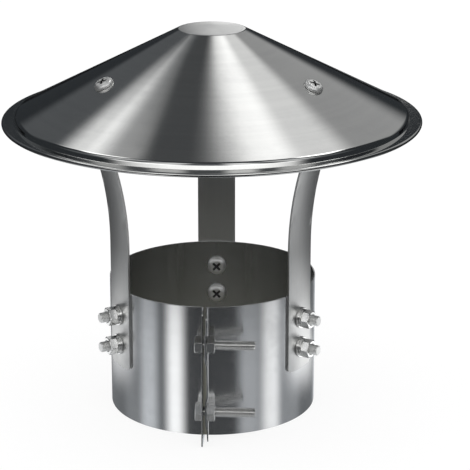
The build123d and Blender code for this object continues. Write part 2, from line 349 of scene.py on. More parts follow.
# %% Model the collar band
band_middle_radius = band_inner_radius + sheet_thickness / 2
ear_x = ear_gap / 2 + sheet_thickness / 2
ear_start_y = -sqrt(band_middle_radius**2 - ear_x**2)
ear_front_y = -band_outer_radius - ear_wide_width
band_steps = 180

bpy.ops.object.select_all(action="DESELECT")
bpy.ops.mesh.primitive_plane_add(
    size=1, rotation=(0, pi / 2, 0), location=(ear_x, (ear_start_y + ear_front_y) / 2, band_height / 2)
)
bpy.context.object.scale = (band_height, ear_start_y - ear_front_y, 1)
collar = named("collar_band_sheet")
edit(collar)
pick("EDGE", lambda p: p.y > ear_start_y - near)
bpy.ops.mesh.spin(
    steps=band_steps,
    angle=2 * pi - 2 * asin(ear_x / band_middle_radius),
    center=(0, 0, 0),
    axis=(0, 0, -1),
)
pick("EDGE", lambda p: abs(p.x + ear_x) < near and abs(p.y - ear_start_y) < near)
bpy.ops.mesh.extrude_region_move(TRANSFORM_OT_translate={"value": (0, ear_front_y - ear_start_y, 0)})
report(collar)

# %% Bend the ears and cut their slants
ear_bend_round = 0.8 * mm
ear_corner_round = 1.2 * mm
past_bend_y = ear_start_y - 0.5 * mm
pick("EDGE", lambda p: abs(abs(p.x) - ear_x) < near and abs(p.y - ear_start_y) < near)
bpy.ops.mesh.bevel(
    offset=corner_cut(ear_bend_round, pi / 2), segments=6, affect="EDGES", clamp_overlap=False
)
slant = atan2(ear_wide_width - ear_narrow_width, band_height)
ear_foot_y = {-1: ear_front_y, 1: -band_outer_radius - ear_narrow_width}
for side, foot_y in ear_foot_y.items():
    pick("FACE", lambda p: p.x * side > 0 and p.y < past_bend_y)
    slice_through((0, foot_y, 0), (0, -cos(slant), -side * sin(slant)), clear_outer=True)
pick("VERT", lambda p: p.y < -band_outer_radius - ear_narrow_width / 2)
bpy.ops.mesh.bevel(offset=ear_corner_round, segments=4, affect="VERTICES")
report(collar)

# %% [markdown]
# To bow the right ear, it is first cut into low strips. Within `pinch` of a bolt it stays where it is,
# and over the next `bow_rise` its front edge eases out to the full bow.

# %% Bow the right ear
bow = 0.8 * mm
pinch = 5.2 * mm
bow_rise = 4.5 * mm
bowed_y = -band_outer_radius - 4 * mm
strips = 44
level_gap = band_height / strips
levels = [level_gap * number for number in range(strips + 1)]
for level in levels[1:-1]:
    pick("FACE", lambda p: p.x > 0 and p.y < past_bend_y)
    slice_through((0, 0, level), (0, 0, 1))


def bow_at(height):
    """How far the right ear's front edge stands out at this height."""
    away = min(abs(height - bolt) for bolt in bolt_heights.values()) - pinch
    share = min(max(away / bow_rise, 0), 1)
    return bow * share * share * (3 - 2 * share)


for level in levels:
    pick("VERT", lambda p: p.x > 0 and abs(p.z - level) < level_gap / 2 and p.y < bowed_y)
    bpy.ops.transform.translate(value=(bow_at(level), 0, 0))
close_up(collar)
report(collar)

# %% Give the collar its thickness and its holes
finish_with(collar, "SOLIDIFY", thickness=sheet_thickness, offset=0, use_even_offset=True)
break_edges(collar, 0.1 * mm, 70)
drill(collar, [clamp_seat(level, 0) for level in bolt_heights])
drill(collar, [
    band_seat(azimuth, band_middle_radius, height)
    for azimuth in leg_azimuths.values()
    for height in leg_screw_heights.values()
])
smooth(collar)
report(collar)

# %% [markdown]
# ## The legs
# A leg is a steel strap. It stands against the collar, leans out in a wide arc, and folds in sharply
# under the cone as a tab. The strap starts as its upright foot, a plane. Its top edge is spun through
# the wide arc, pulled along the straight lean, spun through the tight bend and pulled along the tab, so
# all the arcs are true. One leg is made at azimuth 0, and three copies are turned into place.

# %% The line of a leg, from its foot to the end of its tab
flare_radius = 150 * mm
fold_radius = 4.4 * mm
flare_steps = 14
fold_steps = 12
lean_way = Vector((0, -sin(leg_lean), cos(leg_lean)))
tab_way = Vector((0, cos(cone_angle), sin(cone_angle)))
out_of_lean = Vector((0, -cos(leg_lean), -sin(leg_lean)))
flare_corner = Vector((0, -band_outer_radius, leg_flare_corner))
flare_cut = corner_cut(flare_radius, leg_lean)
flare_start = flare_corner - Vector((0, 0, flare_cut))
flare_end = flare_corner + lean_way * flare_cut
tab_top = hood_height + cone_slope * hood_top_radius - tab_depth / cos(cone_angle)
run_up = tab_top + cone_slope * flare_corner.y - flare_corner.z
fold = flare_corner + lean_way * run_up / (lean_way.z - cone_slope * lean_way.y)
fold_turn = lean_way.angle(tab_way)
fold_start = fold - lean_way * corner_cut(fold_radius, fold_turn)
fold_end = fold + tab_way * corner_cut(fold_radius, fold_turn)
tab_end_y = -(hood_screw_radius - tab_edge_distance * cos(cone_angle) - tab_depth * sin(cone_angle))
print("a leg folds at radius", round(-fold.y / mm, 2), "height", round(fold.z / mm, 2))

# %% Model one leg
strap_corner_round = 2 * mm
columns = 12
bpy.ops.object.select_all(action="DESELECT")
bpy.ops.mesh.primitive_plane_add(
    size=1, rotation=(pi / 2, 0, 0),
    location=(0, -band_outer_radius, (leg_foot_height + flare_start.z) / 2),
)
flat_width = leg_width * band_outer_radius / (band_outer_radius + leg_thickness)
bpy.context.object.scale = (flat_width, flare_start.z - leg_foot_height, 1)
strap = named("strap")
edit(strap)
pick("EDGE", lambda p: p.z > flare_start.z - near)
bpy.ops.mesh.spin(
    steps=flare_steps, angle=leg_lean, center=flare_start - Vector((0, flare_radius, 0)), axis=(-1, 0, 0)
)
pick("EDGE", lambda p: (p.yz - flare_end.yz).length < near)
bpy.ops.mesh.extrude_region_move(TRANSFORM_OT_translate={"value": fold_start - flare_end})
bpy.ops.mesh.spin(
    steps=fold_steps, angle=fold_turn, center=fold_start - out_of_lean * fold_radius, axis=(1, 0, 0)
)
pick("EDGE", lambda p: (p.yz - fold_end.yz).length < near)
bpy.ops.mesh.extrude_region_move(
    TRANSFORM_OT_translate={"value": tab_way * (tab_end_y - fold_end.y) / tab_way.y}
)
pick("VERT", lambda p: p.z < leg_foot_height + near or p.y > tab_end_y - near)
bpy.ops.mesh.bevel(offset=strap_corner_round, segments=5, affect="VERTICES")
for column in range(1 - columns // 2, columns // 2):
    bpy.ops.mesh.select_all(action="SELECT")
    slice_through((flat_width * column / columns, 0, 0), (1, 0, 0))
bpy.ops.object.mode_set(mode="OBJECT")
report(strap)

# %% [markdown]
# While it is flat, the strap is given the map of the strip it was bent from: u runs across it and v
# along it, and 1 on the map is 100 mm of steel. The grain of the steel will follow that map. The strap
# is then rolled to fit the round collar and the cone. Each corner goes straight in, until it is as far
# from the flue's axis as the middle of the strap is at its height. The tab's end goes straight down onto
# the same cone instead, so it stays square.

# %% Map the strap, and roll it to the curve of the collar
map_side = 100 * mm
flat_map = strap.data.uv_layers.new(name="UVMap")
for loop in strap.data.loops:
    corner = strap.data.vertices[loop.vertex_index].co
    along = min(corner.z, fold.z) + max(0, (corner - fold).dot(tab_way))
    flat_map.data[loop.index].uv = (corner.x / map_side, along / map_side)
for corner in strap.data.vertices:
    x, y, z = corner.co
    if z > fold_end.z + near:
        corner.co.z = z - cone_slope * (hypot(x, y) + y)
    else:
        corner.co.y = -sqrt(y * y - x * x)
report(strap)

# %% [markdown]
# Solidify adds the 1.2 mm on the outer side, so the strap's faces are first turned outwards. Then the
# sheared edges are broken, three holes are drilled, and the leg is copied to its three places.

# %% Finish one leg
edit(strap)
bpy.ops.mesh.normals_make_consistent(inside=False)
bpy.ops.object.mode_set(mode="OBJECT")
foot_face = min(strap.data.polygons, key=lambda face: face.center.z)
if foot_face.normal.y > 0:
    edit(strap)
    bpy.ops.mesh.flip_normals()
finish_with(strap, "SOLIDIFY", thickness=leg_thickness, offset=1, use_even_offset=True)
break_edges(strap, 0.14 * mm, 70)
drill(strap, [band_seat(0, band_outer_radius, height) for height in leg_screw_heights.values()])
drill(strap, [hood_seat(0, tab_depth)])
smooth(strap)
report(strap)

# %% Copy the leg round
def fitted(part, name, place):
    """A copy of the part with a mesh of its own, carried to this place."""
    copy = part.copy()
    copy.data = part.data.copy()
    bpy.context.collection.objects.link(copy)
    copy.matrix_world = place
    only(copy)
    return named(name)


legs = {
    leg: fitted(strap, f"leg_{leg}_strap", Matrix.Rotation(radians(azimuth), 4, "Z"))
    for leg, azimuth in leg_azimuths.items()
}
bpy.data.objects.remove(strap)
print("legs", list(legs))

# %% [markdown]
# ## The fasteners
# All screws, bolts and nuts are M5, with a pitch of 0.8 mm. The thread is the outline of one pitch,
# wound up by the Screw modifier. Both ends of that spring shape are cut level and closed, and what it
# shares with a pointed pin makes the chamfered end of the screw.

# %% Model a threaded shank
thread_radius = 2.5 * mm
thread_root = 2.01 * mm
thread_flank = 0.3 * mm
thread_crest = 0.1 * mm
thread_start = -1.015
pin_radius = 3 * mm
point_length = 0.5 * mm
point_radius = 1.9 * mm
pitch = 0.8 * mm


def threaded(name, length):
    """A threaded M5 shank that runs up from height 0 and ends in a chamfer."""
    bpy.ops.object.select_all(action="DESELECT")
    bpy.ops.mesh.primitive_plane_add(size=mm, location=(thread_root, 0, thread_start * pitch))
    shank = named(name)
    edit(shank)
    bpy.ops.mesh.merge(type="CENTER")
    depth = thread_radius - thread_root
    level = (0, 0, thread_crest)
    for step in ((depth, 0, thread_flank), level, (-depth, 0, thread_flank), level):
        bpy.ops.mesh.extrude_region_move(TRANSFORM_OT_translate={"value": step})
    turns = int(length / pitch) + 3
    finish_with(
        shank, "SCREW", steps=24, render_steps=24, screw_offset=pitch, iterations=turns, axis="Z"
    )
    close_up(shank)
    edit(shank)
    slice_through((0, 0, 0), (0, 0, -1), clear_outer=True, use_fill=True)
    bpy.ops.mesh.select_all(action="SELECT")
    slice_through((0, 0, length), (0, 0, 1), clear_outer=True, use_fill=True)
    close_up(shank)
    pin = turned("pin", [
        (pin_radius, -mm),
        (pin_radius, length - point_length - 0.5 * mm),
        (point_radius, length + 0.1 * mm),
    ])
    combine(shank, pin, "INTERSECT")
    return shank


short_shank = threaded("short_shank", 12 * mm)
long_shank = threaded("long_shank", 25 * mm)
report(short_shank)
report(long_shank)

# %% [markdown]
# The pan head is turned, with a round of 2.1 mm at its edge. Its cross recess is pressed in with two
# crossed blades that narrow towards their tips. The faces in the recess then get an attribute, a number
# on each face, with which the finish tells them from the rest of the head and paints shade into them.

# %% Model the pan head
head_radius = 4.75 * mm
head_height = 2.3 * mm
head_round = 2.1 * mm
head_edge = 0.12 * mm
round_steps = 9
round_turns = [radians(90) * step / round_steps for step in range(round_steps + 1)]
head_rings = [(head_radius - head_edge, 0), (head_radius, -head_edge)] + [
    (head_radius - head_round * (1 - cos(turn)), -head_height + head_round * (1 - sin(turn)))
    for turn in round_turns
]
screw = turned("pan_head_screw", head_rings)
report(screw)

# %% Press the cross recess in, and add the shank
blade_size = (5.73 * mm, 1.2 * mm, 2 * mm)
blade_tip = (0.489, 0.85, 1)
blade_depth = 0.5 * mm
recess_radius = 2.6 * mm
recess_top = -head_height + 0.02 * mm
for turn in (pi / 4, 3 * pi / 4):
    bpy.ops.object.select_all(action="DESELECT")
    bpy.ops.mesh.primitive_cube_add(size=1, location=(0, 0, -head_height + blade_depth))
    bpy.context.object.scale = blade_size
    blade = named("blade")
    edit(blade)
    pick("FACE", lambda p: p.z > -head_height + mm)
    bpy.ops.transform.resize(value=blade_tip, center_override=(0, 0, 0))
    bpy.ops.object.mode_set(mode="OBJECT")
    blade.rotation_euler.z = turn
    only(blade)
    bpy.ops.object.transform_apply(rotation=True)
    combine(screw, blade, "DIFFERENCE")
break_edges(screw, 0.08 * mm, 45)
combine(screw, short_shank, "UNION")
smooth(screw)
# Painted shade: the faces in the recess are marked so that the screw's finish darkens them.
in_recess = screw.data.attributes.new("recess", "FLOAT", "FACE")
for face in screw.data.polygons:
    if recess_top < face.center.z < 0 and face.center.xy.length < recess_radius:
        in_recess.data[face.index].value = 1.0
report(screw)

# %% [markdown]
# A hex head or a nut is a six-sided prism, cut down to what it shares with a turned blank. The blank's
# sloping ends leave the curved chamfers that a real nut has on its corners.

# %% A helper for hexagons
hex_width = 8 * mm
chamfer_run = 0.9 * mm
chamfer_rise = 0.5 * mm
flat_radius = 3.88 * mm
wide_radius = flat_radius + chamfer_run
past_end = 0.5 * mm


def hexagon(name, bottom, top, blank_rings):
    """A hexagon 8 mm across its flats, with a corner to +X, chamfered by a turned blank."""
    bpy.ops.object.select_all(action="DESELECT")
    bpy.ops.mesh.primitive_cylinder_add(
        vertices=6, radius=hex_width / 2 / cos(pi / 6), depth=top - bottom,
        location=(0, 0, (top + bottom) / 2), rotation=(0, 0, pi / 2),
    )
    prism = named(name)
    blank = turned("blank", blank_rings, sides=64)
    combine(prism, blank, "INTERSECT")
    return prism


print("a hexagon is", round(hex_width / cos(pi / 6) / mm, 2), "mm across its corners")

# %% Model the bolt
bolt_head = 3.5 * mm
bolt = hexagon("hex_bolt", -bolt_head, 0, [
    (wide_radius, past_end),
    (wide_radius, chamfer_rise - bolt_head),
    (flat_radius, -bolt_head),
    (flat_radius - mm, -bolt_head - past_end),
])
break_edges(bolt, 0.12 * mm, 50)
combine(bolt, long_shank, "UNION")
smooth(bolt)
report(bolt)

# %% Model the nut
nut_height = 4 * mm
bore_radius = 2.56 * mm
mouth_radius = 3.05 * mm
mouth_start = 0.1 * mm
mouth_end = 0.39 * mm
nut = hexagon("hex_nut", 0, nut_height, [
    (flat_radius - mm, -past_end),
    (flat_radius, 0),
    (wide_radius, chamfer_rise),
    (wide_radius, nut_height - chamfer_rise),
    (flat_radius, nut_height),
    (flat_radius - mm, nut_height + past_end),
])
bore = turned("bore", [
    (mouth_radius, -mouth_start),
    (bore_radius, mouth_end),
    (bore_radius, nut_height - mouth_end),
    (mouth_radius, nut_height + mouth_start),
])
combine(nut, bore, "DIFFERENCE")
break_edges(nut, 0.12 * mm, 50)
smooth(nut)
report(nut)

# %% [markdown]
# The flat washer is a turned ring. The spring washer is a thicker ring with a slanting slit sawn
# through it, which is what lets it spring.

# %% Model the flat washer
def ring(name, inner, outer, thickness):
    """A ring of square section that lies on height 0."""
    return turned(
        name, [(outer, 0), (outer, thickness), (inner, thickness), (inner, 0), (outer, 0)], solid=False
    )


washer_thickness = 1 * mm
washer = ring("flat_washer", inner=2.65 * mm, outer=5 * mm, thickness=washer_thickness)
break_edges(washer, 0.12 * mm, 60)
smooth(washer)
report(washer)

# %% Model the spring washer
spring_thickness = 1.2 * mm
slit_width = 0.9 * mm
slit_lean = radians(25)
saw_reach = 4 * mm
spring_washer = ring("spring_washer", inner=2.6 * mm, outer=4.4 * mm, thickness=spring_thickness)
bpy.ops.object.select_all(action="DESELECT")
bpy.ops.mesh.primitive_cube_add(
    size=1, rotation=(0, slit_lean, 0),
    location=(spring_thickness / 2 * tan(slit_lean), saw_reach, spring_thickness / 2),
)
saw = bpy.context.object
saw.scale = (slit_width * cos(slit_lean), saw_reach, saw_reach)
combine(spring_washer, named("saw"), "DIFFERENCE")
break_edges(spring_washer, 0.1 * mm, 60)
smooth(spring_washer)
report(spring_washer)

# %% [markdown]
# ## Putting the fasteners in
# On the collar the screw heads are inside, and the washers and nuts are stacked on the leg's face. On
# the hood the heads are on the cone, and the stacks lie under the tabs. The two clamp bolts run through
# the ears, with a nut on each.

# %% Copy every fastener to its seat
screw_seat_radius = sqrt(band_inner_radius**2 - head_radius**2)
stack = {
    "flat_washer": (washer, 0),
    "spring_washer": (spring_washer, washer_thickness),
    "nut": (nut, washer_thickness + spring_thickness),
}
fasteners = {}
for leg, azimuth in leg_azimuths.items():
    fasteners[f"hood_{leg}_screw"] = (screw, hood_seat(azimuth, 0))
    for kind, (model, depth) in stack.items():
        fasteners[f"hood_{leg}_{kind}"] = (model, hood_seat(azimuth, tab_washer_depth + depth))
    for level, height in leg_screw_heights.items():
        fasteners[f"leg_{leg}_{level}_screw"] = (screw, band_seat(azimuth, screw_seat_radius, height))
        for kind, (model, depth) in stack.items():
            radius = band_outer_radius + leg_thickness + depth
            fasteners[f"leg_{leg}_{level}_{kind}"] = (model, band_seat(azimuth, radius, height))
for level in bolt_heights:
    fasteners[f"clamp_bolt_{level}"] = (bolt, clamp_seat(level, -ear_gap / 2 - sheet_thickness))
    fasteners[f"clamp_nut_{level}"] = (nut, clamp_seat(level, ear_gap / 2 + sheet_thickness))
pieces = {
    node: fitted(model, f"{node}_fine", place) for node, (model, place) in fasteners.items()
}
for model in (screw, bolt, nut, washer, spring_washer):
    bpy.data.objects.remove(model)
print("fasteners", len(pieces))

# %% [markdown]
# ## Shader nodes in one line each
# The finishes are built from shader nodes. `add` makes a node and fills in its inputs, with a value or a
# link. `maths` is the same for a Math node. An effect that several finishes share is a node group.

# %% Helpers for shader nodes
def add(tree, kind, inputs=None, **settings):
    """Adds a node, with each input set to a value or linked to another node's output."""
    node = tree.nodes.new(kind)
    for setting, value in settings.items():
        setattr(node, setting, value)
    for key, value in (inputs or {}).items():
        if isinstance(value, bpy.types.NodeSocket):
            tree.links.new(value, node.inputs[key])
        else:
            node.inputs[key].default_value = value
    return node


def maths(tree, operation, *values):
    """The result of a Math node with these values."""
    return add(tree, "ShaderNodeMath", dict(enumerate(values)), operation=operation).outputs[0]


def fade(tree, value, start, end, low=0.0, high=1.0):
    """Eases from low to high as the value goes from start to end."""
    inputs = {"Value": value, "From Min": start, "From Max": end, "To Min": low, "To Max": high}
    return add(tree, "ShaderNodeMapRange", inputs, interpolation_type="SMOOTHSTEP").outputs["Result"]


def noise(tree, place, scale, detail=2.0, roughness=0.5):
    """Noise of this scale, from 0 to 1."""
    inputs = {"Vector": place, "Scale": scale, "Detail": detail, "Roughness": roughness}
    return add(tree, "ShaderNodeTexNoise", inputs).outputs["Fac"]


def new_group(name, takes, gives):
    """A node group with these inputs and outputs, each named with its kind of socket."""
    group = bpy.data.node_groups.new(name, "ShaderNodeTree")
    for socket, kind in takes.items():
        group.interface.new_socket(socket, in_out="INPUT", socket_type=f"NodeSocket{kind}")
    for socket, kind in gives.items():
        group.interface.new_socket(socket, in_out="OUTPUT", socket_type=f"NodeSocket{kind}")
    return group, add(group, "NodeGroupInput").outputs, add(group, "NodeGroupOutput").inputs


# %% [markdown]
# ## Steel
# Polished sheet isn't a plain mirror. Rolling leaves fine lines along the sheet, in patches that are
# stronger here and weaker there. Hands leave soft dull smudges, and handling leaves a few hair
# scratches. Three groups make these as masks from 0 to 1.

# %% Node group for the grain
rolled_grain, takes, gives = new_group(
    "rolled_grain", {"Place": "Vector", "Lines": "Float"}, {"Grain": "Float", "Bands": "Float"}
)
band_share = 0.13
patch_share = 0.021
band_scale = maths(rolled_grain, "MULTIPLY", takes["Lines"], band_share)
patch_scale = maths(rolled_grain, "MULTIPLY", takes["Lines"], patch_share)
fine = noise(rolled_grain, takes["Place"], takes["Lines"], detail=4.0, roughness=0.7)
wide = noise(rolled_grain, takes["Place"], band_scale, detail=2.0)
patches = noise(rolled_grain, takes["Place"], patch_scale, detail=1.0)
stronger = fade(rolled_grain, patches, start=0.25, end=0.75, low=0.55)
rolled_grain.links.new(maths(rolled_grain, "MULTIPLY", fine, stronger), gives["Grain"])
rolled_grain.links.new(fade(rolled_grain, wide, start=0.3, end=0.7), gives["Bands"])
print("inputs of rolled_grain", list(takes.keys()))

# %% [markdown]
# Smudges are soft blots with finer specks in them. Scratches are the borders between the cells of
# Voronoi noise, bent by another noise.

# %% Node groups for smudges and scratches
smudges, takes, gives = new_group("smudges", {"Place": "Vector", "Size": "Float"}, {"Smudge": "Float"})
specks_finer = 9.0
specks_share = 0.25
scale = maths(smudges, "DIVIDE", 1.0, takes["Size"])
blots = noise(smudges, takes["Place"], scale, detail=3.0, roughness=0.55)
specks = noise(smudges, takes["Place"], maths(smudges, "MULTIPLY", scale, specks_finer), detail=2.0)
worn = maths(smudges, "ADD", blots, maths(smudges, "MULTIPLY", specks, specks_share))
smudges.links.new(fade(smudges, worn, start=0.56, end=0.84), gives["Smudge"])

hair_scratches, takes, gives = new_group(
    "hair_scratches", {"Place": "Vector", "Size": "Float"}, {"Scratch": "Float"}
)
scratch_width = 0.012
bending = (0.6, 0.6, 0.6)
scale = maths(hair_scratches, "DIVIDE", 1.0, takes["Size"])
inputs = {"Vector": takes["Place"], "Scale": scale, "Detail": 1.0}
bent = add(hair_scratches, "ShaderNodeTexNoise", inputs)
pushed = add(
    hair_scratches, "ShaderNodeVectorMath",
    {0: bent.outputs["Color"], 1: bending, 2: takes["Place"]}, operation="MULTIPLY_ADD",
)
cells = add(
    hair_scratches, "ShaderNodeTexVoronoi", {"Vector": pushed.outputs[0], "Scale": scale},
    feature="DISTANCE_TO_EDGE",
)
on_border = fade(hair_scratches, cells.outputs["Distance"], start=scratch_width, end=0.0)
hair_scratches.links.new(on_border, gives["Scratch"])
print("groups", [group.name for group in bpy.data.node_groups])

# %% [markdown]
# The five finishes differ in which way the grain runs, how polished they are, and how light they are.
# On the hood the grain circles the axis, as polishing on a turntable leaves it. On the collar it runs
# round the band, and on the legs it runs along the strap's flat map. On the fasteners it has no way.

# %% Which way the grain runs
def stretched(tree, place, shares):
    """The place, with each of its axes multiplied by that axis's share."""
    return add(tree, "ShaderNodeVectorMath", {0: place, 1: shares}, operation="MULTIPLY").outputs[0]


def plain_place(tree):
    """The place on the object itself, in metres."""
    return add(tree, "ShaderNodeTexCoord").outputs["Object"]


def place_on_hood(tree):
    """Coordinates that change fast from ring to ring, and slowly round the axis."""
    round_share = 0.004
    place = plain_place(tree)
    flat = stretched(tree, place, (1, 1, 0))
    away = add(tree, "ShaderNodeVectorMath", {0: flat}, operation="LENGTH").outputs["Value"]
    round_way = add(tree, "ShaderNodeVectorMath", {0: flat}, operation="NORMALIZE").outputs[0]
    height = add(tree, "ShaderNodeSeparateXYZ", {0: place}).outputs["Z"]
    turn = add(tree, "ShaderNodeSeparateXYZ", {0: round_way}).outputs
    return add(tree, "ShaderNodeCombineXYZ", {
        "X": maths(tree, "MULTIPLY", turn["X"], round_share),
        "Y": maths(tree, "MULTIPLY", turn["Y"], round_share),
        "Z": maths(tree, "SUBTRACT", away, height),
    }).outputs[0]


def place_on_collar(tree):
    """Coordinates that change fast up the band, and slowly along it."""
    return stretched(tree, plain_place(tree), (0.04, 0.04, 1))


def place_on_leg(tree):
    """Coordinates that change fast across the strap, and slowly along it."""
    return stretched(tree, add(tree, "ShaderNodeTexCoord").outputs["UV"], (0.1, 0.002, 1))


print("ways of the grain", [way.__name__ for way in (place_on_hood, place_on_collar, place_on_leg)])

# %% [markdown]
# One function builds all the steels from the three groups. Brushed steel smears what it mirrors across
# its grain. Anisotropic does that on the collar and the legs, and the Tangent node says which way the
# grain runs, round the flue's axis or along the strap's map.

# %% A steel from the three groups
smudge_size = 22 * mm
smudge_shade = 0.35
scratch_size = 14 * mm
scratch_haze = 0.15
bump_strength = 0.5
quarter_turn = 0.25
# Painted shade for the cross recesses of the pan heads.
recess_painted_shade = (0.12, 0.12, 0.12, 1)


def steel(
    name, place_of, light, dark, banding, polish, spread, haze, lines, grain_depth, scratches,
    brushed=0.0, round_axis=False, mark=None,
):
    """A steel of this look: polish and spread are its roughness and how much that varies."""
    material = bpy.data.materials.new(name)
    material.use_nodes = True
    tree = material.node_tree
    tree.nodes.clear()
    place = plain_place(tree)
    inputs = {"Place": place_of(tree), "Lines": lines}
    grain = add(tree, "ShaderNodeGroup", inputs, node_tree=rolled_grain).outputs
    inputs = {"Place": place, "Size": smudge_size}
    smudge = add(tree, "ShaderNodeGroup", inputs, node_tree=smudges).outputs["Smudge"]
    inputs = {"Place": place, "Size": scratch_size}
    scratch = add(tree, "ShaderNodeGroup", inputs, node_tree=hair_scratches).outputs["Scratch"]
    dull = maths(tree, "MULTIPLY", smudge, smudge_shade)
    shade = maths(tree, "ADD", maths(tree, "MULTIPLY", grain["Bands"], banding), dull)
    inputs = {"Factor": shade, "A": (*light, 1), "B": (*dark, 1)}
    color = add(tree, "ShaderNodeMix", inputs, data_type="RGBA").outputs["Result"]
    # Painted shade: faces marked by this attribute take the dark recess colour.
    if mark:
        marked = add(tree, "ShaderNodeAttribute", attribute_name=mark).outputs["Fac"]
        inputs = {"Factor": marked, "A": color, "B": recess_painted_shade}
        color = add(tree, "ShaderNodeMix", inputs, data_type="RGBA").outputs["Result"]
    rough = maths(tree, "MULTIPLY_ADD", grain["Grain"], spread, polish)
    rough = maths(tree, "MULTIPLY_ADD", smudge, haze, rough)
    rough = maths(tree, "MULTIPLY_ADD", scratch, scratch_haze * scratches, rough)
    height = maths(tree, "MULTIPLY_ADD", scratch, -scratches, grain["Grain"])
    inputs = {"Strength": bump_strength, "Distance": grain_depth, "Height": height}
    bump = add(tree, "ShaderNodeBump", inputs).outputs["Normal"]
    inputs = {"Base Color": color, "Metallic": 1.0, "Roughness": rough, "Normal": bump}
    look = add(tree, "ShaderNodeBsdfPrincipled", inputs)
    if brushed:
        look.inputs["Anisotropic"].default_value = brushed
        look.inputs["Anisotropic Rotation"].default_value = quarter_turn
        if round_axis:
            along = add(tree, "ShaderNodeTangent", direction_type="RADIAL", axis="Z")
        else:
            along = add(tree, "ShaderNodeTangent", direction_type="UV_MAP", uv_map="UVMap")
        tree.links.new(along.outputs[0], look.inputs["Tangent"])
    add(tree, "ShaderNodeOutputMaterial", {"Surface": look.outputs[0]})
    return material


print("smudges", smudge_size, "scratches", scratch_size, "metres across")

# %% [markdown]
# The bolts, nuts and washers are bright. The pan heads are duller, and painted shade makes their recesses
# darker than their depth alone leaves them, so that the crosses read from a distance, as on real screws.

# %% The five finishes
finishes = {
    "hood_steel": dict(
        place_of=place_on_hood, light=(0.64, 0.64, 0.63), dark=(0.58, 0.58, 0.575), banding=0.5,
        polish=0.045, spread=0.05, haze=0.04, lines=1500, grain_depth=0.003 * mm, scratches=0.3,
    ),
    "collar_steel": dict(
        place_of=place_on_collar, light=(0.62, 0.625, 0.63), dark=(0.57, 0.57, 0.575), banding=0.25,
        polish=0.14, spread=0.04, haze=0.03, lines=1800, grain_depth=0.003 * mm, scratches=0.3,
        brushed=1.0, round_axis=True,
    ),
    "leg_steel": dict(
        place_of=place_on_leg, light=(0.74, 0.74, 0.73), dark=(0.64, 0.64, 0.635), banding=0.5,
        polish=0.34, spread=0.08, haze=0.05, lines=14000, grain_depth=0.006 * mm, scratches=0.4,
        brushed=0.5,
    ),
    "fastener_steel": dict(
        place_of=plain_place, light=(0.8, 0.8, 0.79), dark=(0.7, 0.7, 0.695), banding=0.4,
        polish=0.15, spread=0.1, haze=0.06, lines=2500, grain_depth=0.006 * mm, scratches=0.5,
    ),
    "screw_steel": dict(
        place_of=plain_place, light=(0.86, 0.86, 0.85), dark=(0.78, 0.78, 0.77), banding=0.4,
        polish=0.44, spread=0.1, haze=0.06, lines=2500, grain_depth=0.006 * mm, scratches=0.5,
        mark="recess",
    ),
}
steels = {name: steel(name, **finish) for name, finish in finishes.items()}
print("steels", list(steels))

# %% [markdown]
# ## Telling the model which piece is which
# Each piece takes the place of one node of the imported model, rides the body which that node belongs to,
# and gets its steel.

# %% Hand the pieces over
def hand_over(part, node, body, slot_name, finish=None):
    """Puts the part in the node's place, on this body and in this slot's steel, or in another finish."""
    part.data.materials.clear()
    part.data.materials.append(steels[finish or slot_name])
    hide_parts(node)
    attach(part, body)


hand_over(hood, "hood", "cap", "hood_steel")
hand_over(collar, "collar_band", "cap", "collar_steel")
for leg, strap in legs.items():
    hand_over(strap, f"leg_{leg}", "cap", "leg_steel")
for node, piece in pieces.items():
    body = node if node.startswith("clamp_") else "cap"
    finish = "screw_steel" if node.endswith("_screw") else None
    hand_over(piece, node, body, "fastener_steel", finish)
print("pieces", 2 + len(legs) + len(pieces))

# %% [markdown]
# ## The studio
# Polished steel shows little of itself and much of the room, so most of the look is made here. The room
# is the world's shader: a dim surround, with soft panels of light at chosen azimuths and elevations.
# Only glossy rays see it. The camera sees white, and the floor's soft shading gets a plain even level.

# %% The node group of one panel
panel_inputs = (
    "Azimuth", "Elevation", "Middle Azimuth", "Middle Elevation",
    "Half Width", "Half Height", "Soft Side", "Soft Top",
)
soft_panel, takes, gives = new_group("soft_panel", dict.fromkeys(panel_inputs, "Float"), {"Mask": "Float"})
turned_away = maths(soft_panel, "SUBTRACT", takes["Azimuth"], takes["Middle Azimuth"])
sideways = maths(soft_panel, "ABSOLUTE", maths(soft_panel, "WRAP", turned_away, 180.0, -180.0))
raised = maths(soft_panel, "SUBTRACT", takes["Elevation"], takes["Middle Elevation"])
upwards = maths(soft_panel, "ABSOLUTE", raised)
outer_side = maths(soft_panel, "ADD", takes["Half Width"], takes["Soft Side"])
outer_top = maths(soft_panel, "ADD", takes["Half Height"], takes["Soft Top"])
in_width = fade(soft_panel, sideways, start=outer_side, end=takes["Half Width"])
in_height = fade(soft_panel, upwards, start=outer_top, end=takes["Half Height"])
soft_panel.links.new(maths(soft_panel, "MULTIPLY", in_width, in_height), gives["Mask"])
print("inputs of soft_panel", panel_inputs)

# %% [markdown]
# Azimuth 0 is the camera's side, and it grows to the right. The panels below the horizon are what the
# upright collar shows, because the camera looks down on it. The ones behind and above are what the
# cone shows from the front, and the high ones at the front and sides are what it shows from behind.
# The two small ones low behind light the brim's edge. Each line is one panel: its name, azimuth,
# elevation, half width, half height, soft borders at the sides and at the top and bottom, all in
# degrees, and its brightness and tint.

